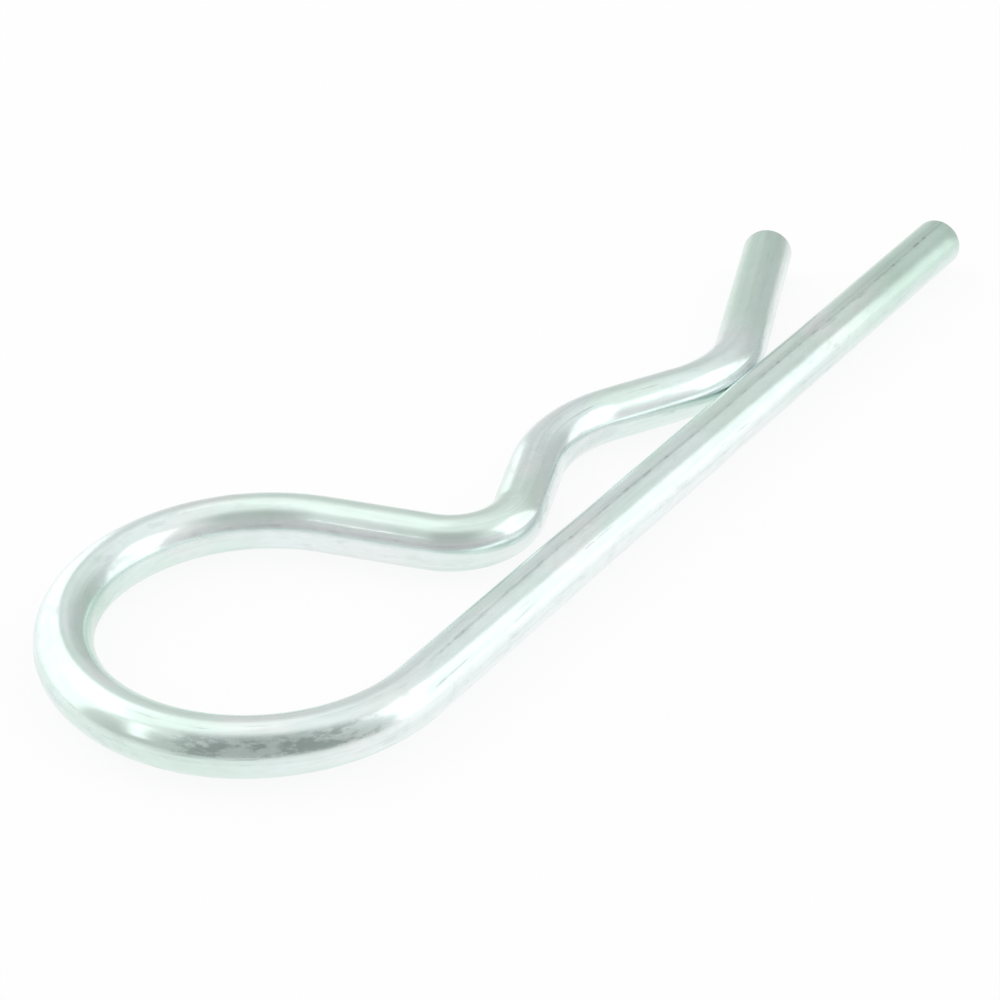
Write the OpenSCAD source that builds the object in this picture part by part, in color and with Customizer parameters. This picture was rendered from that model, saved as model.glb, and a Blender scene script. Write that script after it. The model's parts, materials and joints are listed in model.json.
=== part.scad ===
// R clip for a hitch or clevis pin: one length of round spring wire.
// A straight leg goes through the pin's cross hole, a round bow is the spring and the grip,
// and a wavy leg rides over the outside of the pin until the pin sits under its hump.
// The clip lies flat on z = 0. The origin is the middle of its outline;
// +X runs along the straight leg to its tip and +Y is towards the wavy leg.

/* [Wire] */
// Wire diameter
wire_d = 4; // [3.2:0.1:4.8]
// How much thinner the wire is where it is bent cold
bend_thinning = 0.02; // [0.02:0.01:0.1]
// Rounding around the rim of both cropped ends
end_round = 0.45; // [0.1:0.05:0.8]

/* [Overall] */
// Length from the outside of the bow to the tip of the straight leg
clip_len = 90.5; // [80:0.5:110]

/* [Bow] */
// Inside radius of the bow
bow_r = 10.9; // [9.2:0.1:13.2]
// Angle between the straight leg and the wire as it leaves the bow
bow_exit = 72.5; // [64:0.5:82]

/* [First nip] */
// Free gap between the first nip and the straight leg
nip1_gap = 1.9; // [1.2:0.1:2.3]
// Inside radius of the first nip
nip1_r = 3; // [2:0.1:3.8]
// Angle at which the wire climbs from the first nip
climb = 21.8; // [18:0.2:26]

/* [Hump] */
// Free height between the hump and the straight leg
hump_gap = 5.3; // [4.8:0.1:6.5]
// Inside radius of the hump
hump_r = 9.5; // [7.8:0.1:11.4]
// Angle at which the wire falls to the second nip
fall = 27; // [22:0.5:31]

/* [Second nip] */
// Free gap between the second nip and the straight leg
nip2_gap = 0.1; // [0.05:0.05:0.5]
// Inside radius of the second nip
nip2_r = 8.5; // [6.8:0.1:10.2]

/* [Flared tail] */
// Angle between the straight leg and the tail
flare = 21.8; // [12:0.2:28]
// Straight length of the tail, to its cropped end
tail_len = 17; // [12:0.5:21]

/* [Hidden] */
$fn = 96;

wire_r = wire_d / 2;
bent_wire_r = (wire_d - bend_thinning) / 2;

// radii of the wire's middle line in each bend
bow_mid_r = bow_r + bent_wire_r;
nip1_mid_r = nip1_r + bent_wire_r;
hump_mid_r = hump_r + bent_wire_r;
nip2_mid_r = nip2_r + bent_wire_r;

// heights of the middle line above that of the straight leg
bow_end_y = bow_mid_r * (1 + cos(bow_exit));
nip1_y = wire_r + nip1_gap + bent_wire_r;
hump_y = wire_r + hump_gap + bent_wire_r;
nip2_y = wire_r + nip2_gap + bent_wire_r;

// straight stretches that join the bends at those heights
drop_len = (bow_end_y - nip1_y - nip1_mid_r * (1 - cos(bow_exit))) / sin(bow_exit);
climb_len = (hump_y - nip1_y - (nip1_mid_r + hump_mid_r) * (1 - cos(climb))) / sin(climb);
fall_len = (hump_y - nip2_y - (hump_mid_r + nip2_mid_r) * (1 - cos(fall))) / sin(fall);

// how far the straight leg and the tail reach from where the leg meets the bow
bow_outer_r = bow_mid_r + bent_wire_r;
leg_len = clip_len - bow_outer_r;
tail_reach = bow_mid_r * sin(bow_exit) + drop_len * cos(bow_exit)
           + nip1_mid_r * (sin(bow_exit) + sin(climb)) + climb_len * cos(climb)
           + hump_mid_r * (sin(climb) + sin(fall)) + fall_len * cos(fall)
           + nip2_mid_r * (sin(fall) + sin(flare)) + (tail_len - end_round) * cos(flare)
           + (wire_r - end_round) * sin(flare) + end_round;

// the outline's middle, from the same point
outline_mid_x = (max(leg_len, tail_reach) - bow_outer_r) / 2;
outline_mid_y = (bow_mid_r + bow_outer_r - wire_r) / 2;

// how far a bend's ends run inside its neighbours
bend_lap = 0.1;

steel = [0.80, 0.82, 0.81];

// a straight stretch of wire along +X; whatever follows starts at its end
module run(length) {
  rotate([0, 90, 0])
    cylinder(r = wire_r, h = length);
  translate([length, 0, 0])
    children();
}

// a bend to the left for a positive angle, to the right for a negative one;
// both its ends run a little way inside the straight stretches that it joins
module bend(mid_r, angle) {
  side = sign(angle);
  lap_turn = side * bend_lap / mid_r * 180 / PI;
  translate([0, side * mid_r, 0]) {
    rotate([0, 0, -side * 90 - lap_turn])
      rotate_extrude(angle = angle + 2 * lap_turn)
        translate([mid_r, 0])
          circle(r = bent_wire_r);
    rotate([0, 0, angle])
      translate([0, -side * mid_r, 0])
        children();
  }
}

// the last bit of wire, cropped square with its rim rounded over
module cropped_end() {
  core_r = wire_r - end_round;
  rotate([0, 90, 0]) {
    cylinder(r = core_r, h = end_round);
    rotate_extrude()
      translate([core_r, 0])
        intersection() {
          circle(r = end_round);
          square(end_round);
        }
  }
}

module straight_leg() {
  run(leg_len - end_round)
    cropped_end();
}

module bow_and_wavy_leg() {
  rotate([0, 0, 180])
    bend(bow_mid_r, -(180 + bow_exit))
      run(drop_len)
        bend(nip1_mid_r, bow_exit + climb)
          run(climb_len)
            bend(hump_mid_r, -(climb + fall))
              run(fall_len)
                bend(nip2_mid_r, fall + flare)
                  run(tail_len - end_round)
                    cropped_end();
}

module clip() {
  color(steel)
    translate([-outline_mid_x, -outline_mid_y, wire_r]) {
      straight_leg();
      bow_and_wavy_leg();
    }
}

clip();
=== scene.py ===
import json
import math
import bmesh
import bpy
from mathutils import Matrix, Vector, noise


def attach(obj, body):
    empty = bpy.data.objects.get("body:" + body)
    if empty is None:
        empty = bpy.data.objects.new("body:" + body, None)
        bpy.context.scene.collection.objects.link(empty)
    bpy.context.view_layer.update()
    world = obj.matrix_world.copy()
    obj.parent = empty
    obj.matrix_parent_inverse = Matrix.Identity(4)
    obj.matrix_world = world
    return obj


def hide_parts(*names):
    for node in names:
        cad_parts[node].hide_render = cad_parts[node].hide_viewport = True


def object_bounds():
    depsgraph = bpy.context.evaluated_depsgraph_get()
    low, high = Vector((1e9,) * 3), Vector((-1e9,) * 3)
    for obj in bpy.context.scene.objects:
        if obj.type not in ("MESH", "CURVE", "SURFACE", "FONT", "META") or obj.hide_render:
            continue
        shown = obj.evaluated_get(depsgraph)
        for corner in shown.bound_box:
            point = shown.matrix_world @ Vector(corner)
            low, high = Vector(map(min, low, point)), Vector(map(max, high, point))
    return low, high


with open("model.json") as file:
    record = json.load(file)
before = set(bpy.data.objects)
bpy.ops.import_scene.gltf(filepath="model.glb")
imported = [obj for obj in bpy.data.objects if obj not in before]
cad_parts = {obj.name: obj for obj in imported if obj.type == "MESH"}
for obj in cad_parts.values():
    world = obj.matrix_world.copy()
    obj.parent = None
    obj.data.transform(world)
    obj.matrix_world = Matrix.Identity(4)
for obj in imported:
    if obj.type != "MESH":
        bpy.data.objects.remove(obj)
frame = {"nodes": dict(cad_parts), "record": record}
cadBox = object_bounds()
print("frame loaded:", ", ".join(frame["nodes"]))

mm = 0.001
up = Vector((0, 0, 1))


# the wire's route, from the tip of the straight leg to the tip of the tail

wireSizes = {
    "nip1Gap": 1.9 * mm,        # free gaps between the wavy leg and the straight one
    "humpGap": 5.3 * mm,
    "nip2Gap": 0.1 * mm,
    "nip1Radius": 3.0 * mm,     # inside radii of the bends
    "nip2Radius": 8.5 * mm,
    "bowExit": 72.5,            # slopes of the straight stretches, against the straight leg
    "climb": 21.8,
    "fall": 27.0,
    "flare": 21.8,
    "tailLength": 17.0 * mm,
    "bendThinning": 0.02 * mm,  # cold bending draws the wire out a little
    "endRound": 0.45 * mm,      # rounding round the rim of each cropped end
}


def mount(name):
    found = next(m for m in frame["record"]["mounts"] if m["name"] == name)
    return Vector(found["pos_m"]), found["dims"]["r_mm"] * mm


legPoint, wireRadius = mount("straight_leg")
bowCentre, bowInside = mount("bow_eye")
humpPoint, humpInside = mount("hump_seat")
bentRadius = wireRadius - wireSizes["bendThinning"] / 2


def run(length):
    return {"length": length, "turn": 0, "radius": 0}


def bend(inside, degrees):
    radius = inside + bentRadius
    turn = math.radians(degrees)
    return {"length": radius * abs(turn), "turn": turn, "radius": radius}


def wireStretches():
    s = wireSizes
    insides = (bowInside, s["nip1Radius"], humpInside, s["nip2Radius"])
    bow, nip1, hump, nip2 = (inside + bentRadius for inside in insides)
    leave, climb, fall = (math.radians(s[name]) for name in ("bowExit", "climb", "fall"))
    nip1Height, humpHeight, nip2Height = (
        wireRadius + s[name] + bentRadius for name in ("nip1Gap", "humpGap", "nip2Gap"))
    drop = bow * (1 + math.cos(leave)) - nip1Height - nip1 * (1 - math.cos(leave))
    rise = humpHeight - nip1Height - (nip1 + hump) * (1 - math.cos(climb))
    sink = humpHeight - nip2Height - (hump + nip2) * (1 - math.cos(fall))
    return [
        run(cadBox[1].x - s["endRound"] - bowCentre.x),
        bend(bowInside, -180 - s["bowExit"]),
        run(drop / math.sin(leave)),
        bend(s["nip1Radius"], s["bowExit"] + s["climb"]),
        run(rise / math.sin(climb)),
        bend(humpInside, -s["climb"] - s["fall"]),
        run(sink / math.sin(fall)),
        bend(s["nip2Radius"], s["fall"] + s["flare"]),
        run(s["tailLength"] - s["endRound"]),
    ]


def placeStretches(stretches):
    # each stretch learns where it starts, which way it heads and how far along the wire it is
    point = Vector((cadBox[1].x - wireSizes["endRound"], legPoint.y, legPoint.z))
    heading, along = math.pi, wireSizes["endRound"]
    for stretch in stretches:
        ahead = Vector((math.cos(heading), math.sin(heading), 0))
        left = up.cross(ahead)
        stretch.update(start=point, heading=heading, ahead=ahead, along=along)
        if stretch["turn"]:
            side = math.copysign(1, stretch["turn"])
            centre = point + left * side * stretch["radius"]
            stretch.update(side=side, centre=centre)
            point = centre + Matrix.Rotation(stretch["turn"], 3, "Z") @ (point - centre)
        else:
            point = point + ahead * stretch["length"]
        stretch["end"] = point
        heading += stretch["turn"]
        along += stretch["length"]
    return stretches


route = placeStretches(wireStretches())
legRun, bowBend, tailRun = route[0], route[1], route[-1]
nip1Bend, climbRun, humpBend, fallRun = route[3:7]
wireLength = tailRun["along"] + tailRun["length"] + wireSizes["endRound"]
humpOff = abs(humpBend["centre"].x - humpPoint.x)
print(f"route: {wireLength / mm:.1f} mm of wire, hump {humpOff / mm:.3f} mm off its mount")


# the wire itself

meshSizes = {
    "sides": 96,              # faces round the wire
    "runStep": 1.5 * mm,      # length of a face on the straight stretches
    "bendStep": 2.0,          # degrees a face of the bow turns
    "tightStep": 0.28 * mm,   # length of a face in the tighter bends
    "easeIn": 0.8 * mm,       # how long the wire takes to thin down before a bend
    "rimSteps": 6,            # faces across a rounded rim
    "endRings": 5,            # rings of faces on a cropped end
    "merge": 0.002 * mm,      # vertices nearer than this become one
    "flatDepth": 0.045 * mm,  # how deep the bending pins press into the inside of a bend
    "flatEdge": 0.12 * mm,    # how far round from a pressed flat the wire is rubbed too
    "endDepth": 0.02 * mm,    # vertices this near to the very end are on the sheared face
    "endRelief": 0.05 * mm,   # roughness of the sheared end faces
    "endGrain": 0.35 * mm,    # size of the torn grain on them
}


def selectWhere(wire, test):
    # selects the vertices that pass a test, and the edges and faces between them
    mesh = bmesh.from_edit_mesh(wire.data)
    bpy.ops.mesh.select_all(action="DESELECT")
    for vertex in mesh.verts:
        vertex.select = test(vertex)
    mesh.select_flush(True)
    bmesh.update_edit_mesh(wire.data)


def extrudeRing(move, centre, scale=1.0):
    bpy.ops.mesh.extrude_region_move(TRANSFORM_OT_translate={"value": move})
    if scale != 1.0:
        bpy.ops.transform.resize(value=(scale, scale, scale), center_override=centre)


def extrudeRun(stretch, thinBefore, thinAfter):
    # a straight stretch, drawn in a little where it meets a bend
    ahead, place = stretch["ahead"], stretch["start"]
    ease = meshSizes["easeIn"]
    thin = bentRadius / wireRadius
    if thinBefore:
        place = place + ahead * ease
        extrudeRing(ahead * ease, place, 1 / thin)
    middle = stretch["length"] - ease * (thinBefore + thinAfter)
    steps = max(1, round(middle / meshSizes["runStep"]))
    for step in range(steps):
        place = place + ahead * middle / steps
        extrudeRing(ahead * middle / steps, place)
    if thinAfter:
        place = place + ahead * ease
        extrudeRing(ahead * ease, place, thin)


def spinBend(stretch):
    if stretch is bowBend:
        steps = round(math.degrees(abs(stretch["turn"])) / meshSizes["bendStep"])
    else:
        steps = round(stretch["length"] / meshSizes["tightStep"])
    bpy.ops.mesh.spin(steps=steps, angle=-stretch["turn"], center=stretch["centre"], axis=up)


def cropEnd(wire, centre, ahead):
    # rounds the rim over, closes the end and gives the sheared face some rings of its own
    reach, radius = wireSizes["endRound"], wireRadius
    selectWhere(wire, lambda v: v.is_boundary and (v.co - centre).length < 1.2 * wireRadius)
    depth = 0
    for step in range(1, meshSizes["rimSteps"] + 1):
        angle = math.radians(90) * step / meshSizes["rimSteps"]
        move = reach * math.sin(angle) - depth
        newRadius = wireRadius - reach * (1 - math.cos(angle))
        depth += move
        extrudeRing(ahead * move, centre + ahead * depth, newRadius / radius)
        radius = newRadius
    bpy.ops.mesh.edge_face_add()
    for ring in range(meshSizes["endRings"]):
        bpy.ops.mesh.inset(thickness=radius / (meshSizes["endRings"] + 1.5))
    bpy.ops.mesh.poke()


def modelWire():
    bpy.ops.object.select_all(action="DESELECT")
    bpy.ops.mesh.primitive_circle_add(vertices=meshSizes["sides"], radius=wireRadius,
                                      location=legRun["start"], rotation=(0, math.radians(90), 0))
    wire = bpy.context.object
    wire.name = wire.data.name = "spring_wire"
    bpy.ops.object.transform_apply(location=True, rotation=True, scale=True)
    bpy.ops.object.mode_set(mode="EDIT")
    bpy.ops.mesh.select_mode(type="VERT")
    bpy.ops.mesh.select_all(action="SELECT")
    for number, stretch in enumerate(route):
        if stretch["turn"]:
            spinBend(stretch)
        else:
            extrudeRun(stretch, number > 0, number < len(route) - 1)
    cropEnd(wire, tailRun["end"], tailRun["ahead"])
    cropEnd(wire, legRun["start"], -legRun["ahead"])
    bpy.ops.mesh.select_all(action="SELECT")
    bpy.ops.mesh.remove_doubles(threshold=meshSizes["merge"])
    bpy.ops.mesh.normals_make_consistent(inside=False)
    bpy.ops.object.mode_set(mode="OBJECT")
    bpy.ops.object.shade_smooth()
    return wire


def footOnStretch(point, stretch):
    # nearest point of one stretch's middle line: how far off, how far along it, how far to its left
    flat = Vector((point.x, point.y, stretch["start"].z))
    if stretch["turn"]:
        arm, firstArm = flat - stretch["centre"], stretch["start"] - stretch["centre"]
        swept = (math.atan2(arm.y, arm.x) - math.atan2(firstArm.y, firstArm.x)) * stretch["side"]
        before = math.radians(40)  # a point this little before the bend isn't one far round it
        swept = (swept + before) % math.tau - before
        swept = min(max(swept, 0), abs(stretch["turn"]))
        foot = stretch["centre"] + Matrix.Rotation(swept * stretch["side"], 3, "Z") @ firstArm
        across = (stretch["radius"] - arm.length) * stretch["side"]
        return (point - foot).length, swept * stretch["radius"], across
    along = (flat - stretch["start"]).dot(stretch["ahead"])
    first = -math.inf if stretch is legRun else 0  # the outermost stretches take in the cropped ends
    last = math.inf if stretch is tailRun else stretch["length"]
    reach = min(max(along, first), last)
    foot = stretch["start"] + stretch["ahead"] * reach
    return (point - foot).length, reach, (flat - foot).dot(up.cross(stretch["ahead"]))


def smooth(low, high, value):
    t = min(max((value - low) / (high - low), 0), 1)
    return t * t * (3 - 2 * t)


def pressFlat(vertex, stretch, along, across):
    # the bending pin leaves a narrow flat on the inside of a tight bend; returns how rubbed it is
    share = along / stretch["length"]
    window = min(1, 6 * share * (1 - share))  # the flat fades out towards the bend's ends
    inward = across * stretch["side"]
    limit = bentRadius - meshSizes["flatDepth"] * window
    if inward > limit:
        toCentre = (stretch["centre"] - vertex.co) * Vector((1, 1, 0))
        vertex.co += toCentre.normalized() * (limit - inward)
    return window * smooth(limit - meshSizes["flatEdge"], limit, inward)


def roughenCut(vertex, along):
    # a sheared end: smooth where the blade went in, torn grain over the rest
    onLeg = along < wireLength / 2
    ahead = -legRun["ahead"] if onLeg else tailRun["ahead"]
    side = up.cross(ahead)
    offset = vertex.co - (legRun["start"] if onLeg else tailRun["end"])
    across, rise = offset.dot(side), offset.z
    rim = smooth(wireRadius - wireSizes["endRound"], wireRadius - 1.6 * wireSizes["endRound"],
                 math.hypot(across, rise))
    torn = smooth(0.2 * wireRadius, -0.2 * wireRadius, rise + 0.3 * across)
    grain = 0.5 + 0.5 * noise.noise(vertex.co / meshSizes["endGrain"])
    vertex.co -= ahead * rim * meshSizes["endRelief"] * (0.3 + torn * grain)
    return rim * (0.4 + 0.6 * torn)


def unrollWire(wire):
    # every vertex learns its place on the straightened wire, how rubbed it is and how torn
    path, rubbed, torn = [], [], []
    for vertex in wire.data.vertices:
        found = [(footOnStretch(vertex.co, stretch), stretch) for stretch in route]
        (off, along, across), stretch = min(found, key=lambda f: f[0][0])
        rise, whole = vertex.co.z - legPoint.z, stretch["along"] + along
        tight = stretch["turn"] and stretch is not bowBend
        rubbed.append(pressFlat(vertex, stretch, along, across) if tight else 0)
        cut = min(cadBox[1].x - vertex.co.x, wireLength - whole) < meshSizes["endDepth"]
        torn.append(roughenCut(vertex, whole) if cut else 0)
        path += [whole, across, rise]
    wire.data.attributes.new("wirePath", "FLOAT_VECTOR", "POINT").data.foreach_set("vector", path)
    wire.data.attributes.new("rubbed", "FLOAT", "POINT").data.foreach_set("value", rubbed)
    wire.data.attributes.new("torn", "FLOAT", "POINT").data.foreach_set("value", torn)
    wire.data.update()


springWire = modelWire()
unrollWire(springWire)
print("wire modelled:", len(springWire.data.polygons), "faces")


# shader values with arithmetic; anything but arithmetic comes from make()

class Sock:
    def __init__(self, tree, socket=None):
        self.tree = tree
        self.socket = socket

    def make(self, kind, settings, sockets, output=0):
        node = self.tree.nodes.new(kind)
        for name, value in settings.items():
            setattr(node, name, value)
        for name, value in sockets.items():
            if isinstance(value, Sock):
                self.tree.links.new(value.socket, node.inputs[name])
            else:
                node.inputs[name].default_value = value
        return Sock(self.tree, node.outputs[output] if node.outputs else None)

    def maths(self, operation, first, second):
        return self.make("ShaderNodeMath", {"operation": operation}, {0: first, 1: second})

    def __add__(self, other):
        return self.maths("ADD", self, other)

    def __radd__(self, other):
        return self.maths("ADD", other, self)

    def __sub__(self, other):
        return self.maths("SUBTRACT", self, other)

    def __rsub__(self, other):
        return self.maths("SUBTRACT", other, self)

    def __mul__(self, other):
        return self.maths("MULTIPLY", self, other)

    def __rmul__(self, other):
        return self.maths("MULTIPLY", other, self)

    def magnitude(self):
        return self.maths("ABSOLUTE", self, 0)

    def between(self, low, high, start=0.0, end=1.0):
        # a smooth step from start to end as this value goes from low to high
        return self.make("ShaderNodeMapRange", {"interpolation_type": "SMOOTHSTEP"},
                         {"Value": self, "From Min": low, "From Max": high, "To Min": start, "To Max": end})

    def scaled(self, x, y, z):
        return self.make("ShaderNodeVectorMath", {"operation": "MULTIPLY"}, {0: self, 1: (x, y, z)})

    def speckle(self, along, across, detail, soft=0.5):
        # noise with so many cells a metre along the wire and across it
        return self.make("ShaderNodeTexNoise", {}, {
            "Vector": self.scaled(along, across, across), "Scale": 1.0, "Detail": detail, "Roughness": soft})

    def blend(self, first, second):
        # first colour where this value is 0, second where it is 1
        return self.make("ShaderNodeMix", {"data_type": "RGBA"}, {0: self, 6: first, 7: second}, 2)


def newMaterial(name):
    material = bpy.data.materials.new(name)
    material.use_nodes = True
    material.node_tree.nodes.clear()
    return material, Sock(material.node_tree)


def colour(red, green, blue):
    return (red, green, blue, 1)


zincFinish = {
    "cool": colour(0.775, 0.875, 0.86),
    "green": colour(0.715, 0.85, 0.79),
    "warm": colour(0.81, 0.845, 0.83),
    "bright": colour(0.89, 0.94, 0.94),     # burnished in scuffs and where the legs rub; painted highlight on the legs' sides
    "dull": colour(0.525, 0.715, 0.61),     # thinly plated at the ends; painted shade inside the bow
    "stained": colour(0.44, 0.52, 0.49),
    "racked": colour(0.38, 0.46, 0.43),
    "worn": colour(0.36, 0.41, 0.40),
    "roughness": 0.19,
    # each die line: degrees round the wire, its depth on the straight leg and its depth after it
    "dieLines": [(7, 1.0, 0.05), (84, 0.2, 0.2), (-64, 0.3, 0.3), (163, 0.5, 0.5)],
    "dieLineWidth": 0.15 * mm,
    "tipDull": 19 * mm,                     # how far from each end the plating is thin
    "tailDull": 21 * mm,
    "bowShade": (24 * mm, 38 * mm),         # stretch of the bow whose inner side is dulled as painted shade
    "rackMark": (3 * mm, 18 * mm),          # stretch of the bow that hung on the plating rack
    "legRubAndSheen": (12 * mm, 66 * mm),         # stretches whose inner side is brighter: rubbed on the pin, and painted highlight against the other leg's dark reflection
    "wavyRubAndSheen": (110 * mm, 205 * mm),      # reaches past the tail, so that it hasn't faded there
    "outerLegSheen": (22 * mm, 92 * mm),     # stretch of the straight leg whose outer side has a painted highlight, standing for the bright floor it mirrors
    "streakDepth": 0.0012 * mm,
    "waveDepth": 0.045 * mm,
    "rippleDepth": 0.004 * mm,
    "nickDepth": 0.010 * mm,
    "peelDepth": 0.0005 * mm,
    # each noise in the plating: cells a metre along the wire and across it, detail, roughness if not 0.5
    "lineDrift": (28, 0, 1),
    "lineBreaks": (300, 260, 3, 0.6),
    "lineKnots": (900, 700, 1),
    "lineSmears": (420, 1300, 3, 0.65),
    "fineLines": (70, 9000, 2),
    "broadLines": (30, 2400, 3),
    "scores": (90, 3400, 1),
    "scoreBreaks": (420, 500, 2),
    "toolMarks": (5200, 600, 2),
    "scuffs": (620, 900, 1),
    "scuffBreaks": (520, 480, 2),
    "wave": (110, 420, 1),
    "ripple": (600, 1400, 2),
    "peel": (2600, 2600, 2),
    "streaks": (45, 1300, 3, 0.6),
    "clouds": (90, 210, 3, 0.6),
    "warmClouds": (150, 300, 3),
    "stains": (520, 1150, 4, 0.65),
    "stainPatches": (75, 160, 2),
    "mottle": (640, 1500, 4, 0.6),
    "rackBlotches": (620, 1500, 4, 0.65),
}


def drawnLines(finish, path, place):
    # the drawing die leaves a few long lines at fixed places round the wire, broken here and there
    turned = place["across"].maths("ARCTAN2", place["across"], place["rise"])
    drift = (path.speckle(*finish["lineDrift"]) - 0.5) * 0.5
    breaks = path.speckle(*finish["lineBreaks"]).between(0.40, 0.60)
    knots = path.speckle(*finish["lineKnots"]).between(0.54, 0.64)
    smears = path.speckle(*finish["lineSmears"]).between(0.48, 0.62)
    onLeg = place["along"].between(0.93 * bowBend["along"], 1.02 * bowBend["along"], 1, 0)
    reach = finish["dieLineWidth"] / wireRadius
    lines = 0
    for degrees, legDepth, depth in finish["dieLines"]:
        off = (turned + drift - math.radians(degrees)).magnitude()
        line = off.between(0.35 * reach, reach, 1, 0) * (0.6 + breaks * 0.4) * (0.7 + 0.9 * knots)
        smudge = off.between(0, 4 * reach, 0.45, 0) * smears
        lines = lines + (line + smudge) * (depth + (legDepth - depth) * onLeg)
    return lines


def partOfWire(limits, place, start=0):
    # 1 along part of the wire, fading over a fifth of its length at both ends
    first, last = (start + reach for reach in limits)
    fade = 0.2 * (last - first)
    return place["along"].between(first, first + fade) * place["along"].between(last - fade, last, 1, 0)


def partOfBow(limits, place):
    return partOfWire(limits, place, bowBend["along"])


def thinPlatingAndBowShade(finish, place):
    # the bath plates thinly near the ends, at the tip mostly on top; on part of the inside of the bow the
    # dulling is painted shade
    full = 0.55  # share of each thin end that is fully dull
    onTop = place["rise"].between(0.08 * wireRadius, 0.3 * wireRadius, 0.35, 1.2)
    tip = place["along"].between(full * finish["tipDull"], finish["tipDull"], 1, 0) * onTop
    fromTail = (wireLength - finish["tailDull"], wireLength - full * finish["tailDull"])
    tail = place["along"].between(*fromTail, 0, 0.8)
    inside = place["across"].between(-0.7 * wireRadius, -0.2 * wireRadius, 1, 0)
    # the inside term is painted shade on part of the bow's inner side
    return tip + tail + inside * partOfBow(finish["bowShade"], place) * 0.7


def rubbedAndPaintedSheen(finish, place):
    # brighter on the inner sides of the two legs, where they rub on the pin and where a painted highlight
    # offsets the other leg's dark reflection; painted highlight on the outer side of the straight leg
    # rubbing on the pin, and painted highlight against the other leg's dark reflection
    inner = (place["across"].between(-0.92 * wireRadius, -0.70 * wireRadius, 1, 0)
             * place["rise"].between(-0.1 * wireRadius, 0.3 * wireRadius, 0.3, 1))
    # painted highlight on the outer side of the straight leg
    outer = place["across"].between(0.8 * wireRadius, 0.95 * wireRadius)
    rides = partOfWire(finish["legRubAndSheen"], place) + partOfWire(finish["wavyRubAndSheen"], place)
    return inner * rides * 0.95 + outer * partOfWire(finish["outerLegSheen"], place) * 0.8


def rackMark(finish, path, place):
    # where the clip hung on the plating rack, the plating is blotched on the upper side
    side = (place["rise"].between(0.22 * wireRadius, 0.36 * wireRadius)
            * place["rise"].between(0.70 * wireRadius, 0.90 * wireRadius, 1, 0))
    blotches = path.speckle(*finish["rackBlotches"]).between(0.44, 0.60)
    return partOfBow(finish["rackMark"], place) * side * (0.25 + 0.70 * blotches)


def zincPlate(finish):
    material, tree = newMaterial("zinc_plate")
    path = tree.make("ShaderNodeAttribute", {"attribute_name": "wirePath"}, {}, "Vector")
    rubbed = tree.make("ShaderNodeAttribute", {"attribute_name": "rubbed"}, {}, "Fac")
    torn = tree.make("ShaderNodeAttribute", {"attribute_name": "torn"}, {}, "Fac")
    place = {name: tree.make("ShaderNodeSeparateXYZ", {}, {0: path}, axis)
             for name, axis in (("along", "X"), ("across", "Y"), ("rise", "Z"))}

    # drawing leaves fine lengthwise lines in two sizes, a few long lines and some short deep scores
    fine = path.speckle(*finish["fineLines"])
    broad = path.speckle(*finish["broadLines"])
    lines = drawnLines(finish, path, place)
    scores = (path.speckle(*finish["scores"]).between(0.70, 0.76)
              * path.speckle(*finish["scoreBreaks"]).between(0.45, 0.6))
    toolMarks = path.speckle(*finish["toolMarks"]) * rubbed

    # thin curved scuffs where the wavy leg rides up over the pin
    ridden = (place["along"].between(nip1Bend["along"], climbRun["along"])
              * place["along"].between(humpBend["along"], fallRun["along"], 1, 0))
    scuffs = ((path.speckle(*finish["scuffs"]) - 0.62).magnitude().between(0.004, 0.012, 1, 0) * ridden
              * path.speckle(*finish["scuffBreaks"]).between(0.54, 0.58))

    # the plating bath leaves soft waves, streaks of tint, blotches and thin ends
    wave = path.speckle(*finish["wave"])
    ripple = path.speckle(*finish["ripple"])
    peel = path.speckle(*finish["peel"])
    streaks = path.speckle(*finish["streaks"]).between(0.45, 0.68)
    clouds = path.speckle(*finish["clouds"])
    warmClouds = path.speckle(*finish["warmClouds"]).between(0.50, 0.68)
    stains = (path.speckle(*finish["stains"]).between(0.52, 0.70)
              * path.speckle(*finish["stainPatches"]).between(0.40, 0.58))
    mottle = path.speckle(*finish["mottle"]).between(0.42, 0.64)
    thin = thinPlatingAndBowShade(finish, place)
    racked = rackMark(finish, path, place)

    base = clouds.between(0.38, 0.60).blend(finish["cool"], finish["green"])
    base = (warmClouds * 0.7).blend(base, finish["warm"])
    # thin plating at the ends, and painted shade on the inside of the bow
    base = (thin * (0.45 + 0.3 * clouds)).blend(base, finish["dull"])
    # painted highlight: the legs' sides whitened as if lit, partly rubbing on the pin
    base = rubbedAndPaintedSheen(finish, place).blend(base, finish["bright"])
    base = (streaks * 0.15 + stains * 0.22 + mottle * 0.08).blend(base, finish["stained"])
    base = racked.blend(base, finish["racked"])
    base = (scuffs * 0.8).blend(base, finish["bright"])
    base = (lines * 0.5 + scores * 0.35 + torn * 0.35 + rubbed * 0.12).blend(base, finish["worn"])

    roughness = finish["roughness"] + (broad - 0.5) * 0.10 + (stains + racked) * 0.14 + thin * 0.03
    roughness = roughness + (lines + scores) * 0.15 + torn * 0.28 + toolMarks * 0.12

    streak, nick = finish["streakDepth"], finish["nickDepth"]
    height = (fine * streak + broad * (2 * streak) + wave * finish["waveDepth"]
              + ripple * finish["rippleDepth"] + peel * finish["peelDepth"]
              - (scores + lines * 0.6) * nick - toolMarks * (3 * streak) - scuffs * (0.3 * nick))
    bump = tree.make("ShaderNodeBump", {}, {"Height": height, "Distance": 1.0, "Strength": 1.0})
    plate = tree.make("ShaderNodeBsdfPrincipled", {}, {
        "Base Color": base, "Metallic": 1.0, "Roughness": roughness, "Normal": bump})
    tree.make("ShaderNodeOutputMaterial", {}, {"Surface": plate})
    return material


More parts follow.
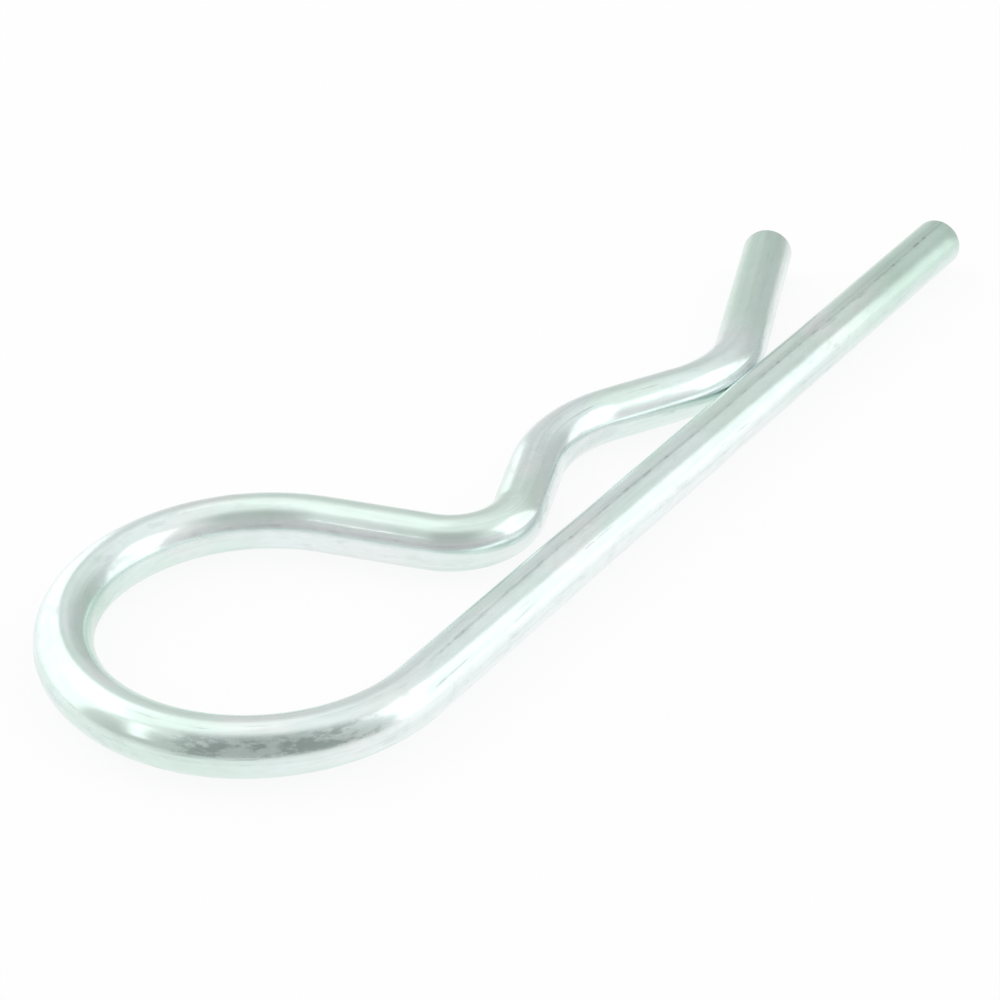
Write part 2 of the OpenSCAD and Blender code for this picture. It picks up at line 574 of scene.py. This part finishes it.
springWire.data.materials.append(zincPlate(zincFinish))
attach(springWire, "root")
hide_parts("clip")
print("wire plated")


# the studio: a pale floor, seven lamps and a room that is dim on one side

floorLook = {
    "size": 3.0,
    "white": colour(0.95, 0.95, 0.95),
    "glow": 0.88,               # how much of what the camera sees of the floor is its own white
    "sheen": 1.28,              # index of refraction of its satin, which only the wire mirrors
    "blur": 0.25,               # roughness of that satin
    "pool": (0.035, -0.03, 0),  # middle of a painted pool of light on the floor, which only the wire mirrors
    "poolReach": (0.03, 0.085),
    "mirrored": (1.0, 0.94),    # in the patch and away from it
}


def layFloor(look):
    bpy.ops.object.select_all(action="DESELECT")
    bpy.ops.mesh.primitive_plane_add(size=look["size"], location=(0, 0, 0))
    floor = bpy.context.object
    floor.name = "floor"
    material, tree = newMaterial("pale_floor")
    material.cycles.emission_sampling = "NONE"
    direct, glossy, through = (tree.make("ShaderNodeLightPath", {}, {}, name) for name in (
        "Is Camera Ray", "Is Glossy Ray", "Is Transmission Ray"))
    matt = tree.make("ShaderNodeBsdfDiffuse", {}, {"Color": look["white"]})
    glow = tree.make("ShaderNodeEmission", {}, {"Strength": 1.0})
    satin = tree.make("ShaderNodeBsdfAnisotropic", {}, {
        "Color": colour(1, 1, 1), "Roughness": look["blur"]})
    slant = tree.make("ShaderNodeFresnel", {}, {"IOR": look["sheen"]})
    place = tree.make("ShaderNodeTexCoord", {}, {}, "Object")
    off = tree.make("ShaderNodeVectorMath", {"operation": "DISTANCE"}, {0: place, 1: look["pool"]}, "Value")
    # painted pool of light: the floor glows brighter near the straight leg for the rays the wire mirrors
    mirrored = off.between(*look["poolReach"], *look["mirrored"])
    seen = direct * look["glow"] + (glossy + through) * mirrored
    plain = tree.make("ShaderNodeMixShader", {}, {0: seen, 1: matt, 2: glow})
    both = tree.make("ShaderNodeMixShader", {}, {0: glossy * slant, 1: plain, 2: satin})
    tree.make("ShaderNodeOutputMaterial", {}, {"Surface": both})
    floor.data.materials.append(material)


# each lamp hangs upright, facing the clip, from one height to another;
# heading is in degrees from +X towards +Y, lean in degrees from upright
studioLamps = [
    {"name": "leftSoftbox", "heading": 91, "away": 0.8, "wide": 1.22,
     "bottom": -0.02, "top": 1.22, "level": 0.56},
    {"name": "leftFill", "heading": 85, "away": 0.9, "wide": 2.57,
     "bottom": -0.02, "top": 1.3, "level": 0.1},
    {"name": "leftGlow", "heading": 85, "away": 0.3, "wide": 0.72,
     "bottom": 0.45, "top": 1.6, "level": 0.19},
    {"name": "rightSoftbox", "heading": 305, "away": 0.8, "wide": 0.73,
     "bottom": -0.02, "top": 1.12, "level": 0.62},
    {"name": "rightGlow", "heading": 282, "away": 0.8, "wide": 0.65,
     "bottom": -0.02, "top": 0.7, "level": 0.12},
    {"name": "strip", "heading": 152, "away": 0.8, "wide": 0.13,
     "bottom": 0.18, "top": 0.95, "level": 0.8, "lean": 18},
    {"name": "smallLamp", "heading": 175, "away": 0.8, "wide": 0.03,
     "bottom": 0.68, "top": 0.71, "level": 8.0},
]


def hangLamp(lamp):
    heading, away = math.radians(lamp["heading"]), lamp["away"]
    tall = lamp["top"] - lamp["bottom"]
    data = bpy.data.lights.new(lamp["name"], "AREA")
    data.shape = "RECTANGLE"
    data.size, data.size_y = lamp["wide"], tall
    data.energy = lamp["level"] * math.pi * lamp["wide"] * tall
    hung = bpy.data.objects.new(lamp["name"], data)
    hung.location = (away * math.cos(heading), away * math.sin(heading), lamp["bottom"] + tall / 2)
    upright = Matrix.Rotation(math.radians(90), 3, "X")
    facing = Matrix.Rotation(heading + math.radians(90), 3, "Z")
    leaning = Matrix.Rotation(math.radians(lamp.get("lean", 0)), 3, "Z")
    hung.rotation_euler = (facing @ upright @ leaning).to_euler()
    hung.visible_camera = False
    bpy.context.scene.collection.objects.link(hung)


# directions are as parts of a unit vector: 0 is level, 1 is straight up
room = {
    "low": 0.65,              # brightness of the walls low down and high up
    "high": 1.01,
    "brightens": (0.4, 0.9),  # where the one passes into the other
    "dim": 0.575,             # brightness of the dim side
    "dimHeading": 218,
}


def lightRoom(look):
    world = bpy.data.worlds.new("studio")
    bpy.context.scene.world = world
    world.use_nodes = True
    world.node_tree.nodes.clear()
    tree = Sock(world.node_tree)
    heading = math.radians(look["dimHeading"])
    way = tree.make("ShaderNodeTexCoord", {}, {}, "Generated")
    rise = tree.make("ShaderNodeSeparateXYZ", {}, {0: way}, "Z")
    axes = (math.cos(heading), math.sin(heading), 0), (-math.sin(heading), math.cos(heading), 0)
    facing, beside = (
        tree.make("ShaderNodeVectorMath", {"operation": "DOT_PRODUCT"}, {0: way, 1: axis}, "Value")
        for axis in axes)
    bright = rise.between(*look["brightens"], look["low"], look["high"])
    dimSide = (facing.between(0, 0.38) * rise.between(-0.06, 0.14)
               * (beside * beside).between(0.02, 0.32, 1, 0))
    wall = bright + dimSide * (look["dim"] - bright)
    seen = tree.make("ShaderNodeLightPath", {}, {}, "Is Camera Ray")
    light = tree.make("ShaderNodeBackground", {}, {
        "Color": colour(1, 1, 1), "Strength": seen + (1 - seen) * wall})
    tree.make("ShaderNodeOutputWorld", {}, {"Surface": light})


layFloor(floorLook)
for lamp in studioLamps:
    hangLamp(lamp)
lightRoom(room)
print("studio lit")


# the camera, looking down along the clip from the bow's end

cameraView = {
    "aim": Vector((-8.57, -4.61, 2.0)) * mm,
    "heading": 33.81,          # degrees from +X towards +Y
    "lookDown": 32.77,         # degrees below level
    "distance": 190.9 * mm,
    "lens": 96.48,             # millimetres, on a sensor of this width
    "sensor": 36,
    "nearest": 10 * mm,
}


def placeCamera(view):
    heading, down = math.radians(view["heading"]), math.radians(view["lookDown"])
    level = math.cos(down)
    ahead = Vector((level * math.cos(heading), level * math.sin(heading), -math.sin(down)))
    data = bpy.data.cameras.new("camera")
    data.lens = view["lens"]
    data.sensor_width = view["sensor"]
    data.clip_start = view["nearest"]
    camera = bpy.data.objects.new("camera", data)
    camera.location = view["aim"] - ahead * view["distance"]
    camera.rotation_euler = (math.radians(90) - down, 0, heading - math.radians(90))
    bpy.context.scene.collection.objects.link(camera)
    bpy.context.scene.camera = camera


placeCamera(cameraView)
bpy.context.scene.view_settings.view_transform = "Standard"
print("camera placed")
